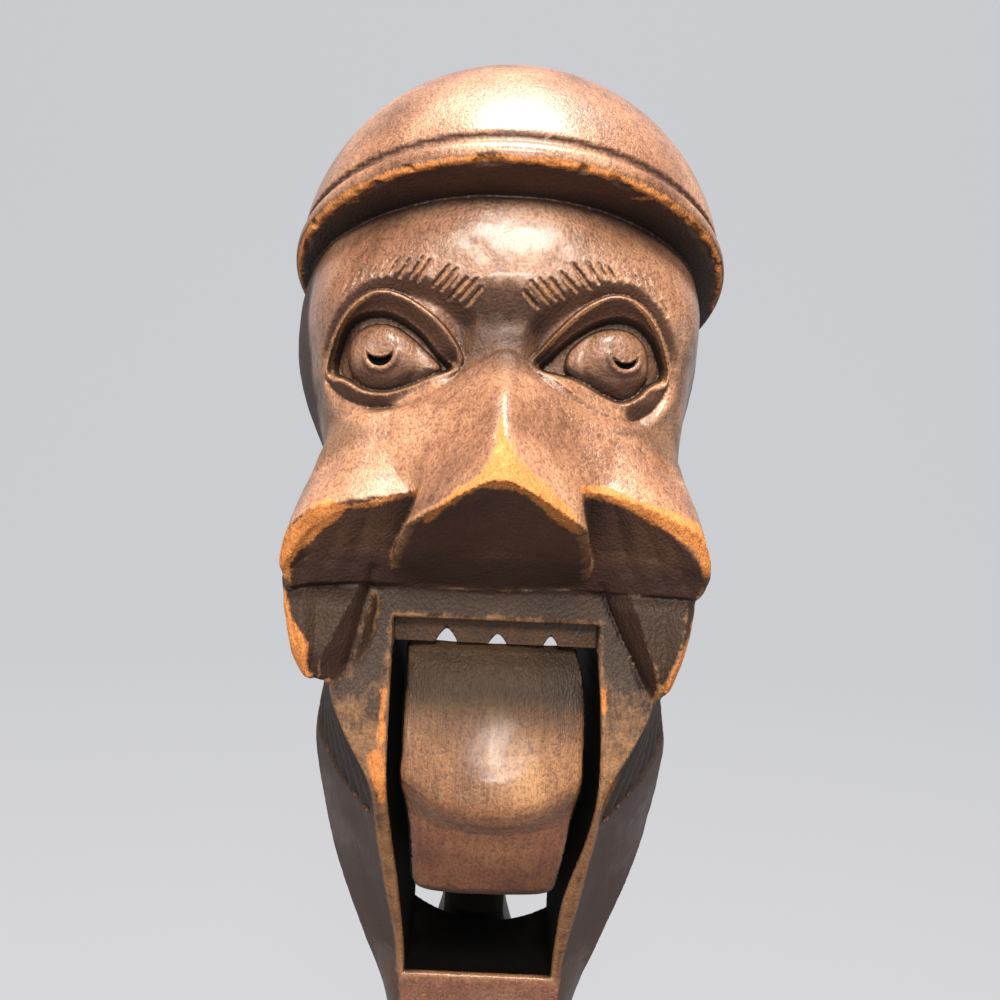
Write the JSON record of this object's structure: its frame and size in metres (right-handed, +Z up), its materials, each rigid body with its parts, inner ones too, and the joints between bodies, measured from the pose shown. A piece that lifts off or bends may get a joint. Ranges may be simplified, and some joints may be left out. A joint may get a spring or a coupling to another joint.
{
  "type": "lever nutcracker press",
  "caption": "Carved wooden nutcracker: a capped head on a handle, with a jaw that is the short end of a lever and cracks a nut against the teeth.",
  "frame": {"origin": "on the surface that the two handle ends stand on, under the middle of the overall box", "axes": "+Z up along the handles to the crown of the cap; the face looks along -Y; X runs along the hinge pin"},
  "size_m": [0.0538, 0.069, 0.2032],
  "materials": {
    "walnut": "dark stain under aged semi-gloss varnish, worn to pale wood along the sharp edges",
    "walnut_lever": "dark stain under aged semi-gloss varnish, finely scratched",
    "steel": "dull drawn wire"
  },
  "bodies": {
    "head": {"head_handle": "walnut", "hinge_pin": "steel"},
    "lever": {"jaw_lever": "walnut_lever"}
  },
  "joints": [
    {"name": "jaw_hinge", "type": "hinge", "parent": "head", "child": "lever", "pos_m": [0, 0.008, 0.112], "axis": [1, 0, 0], "range_deg": [0, 38]}
  ]
}
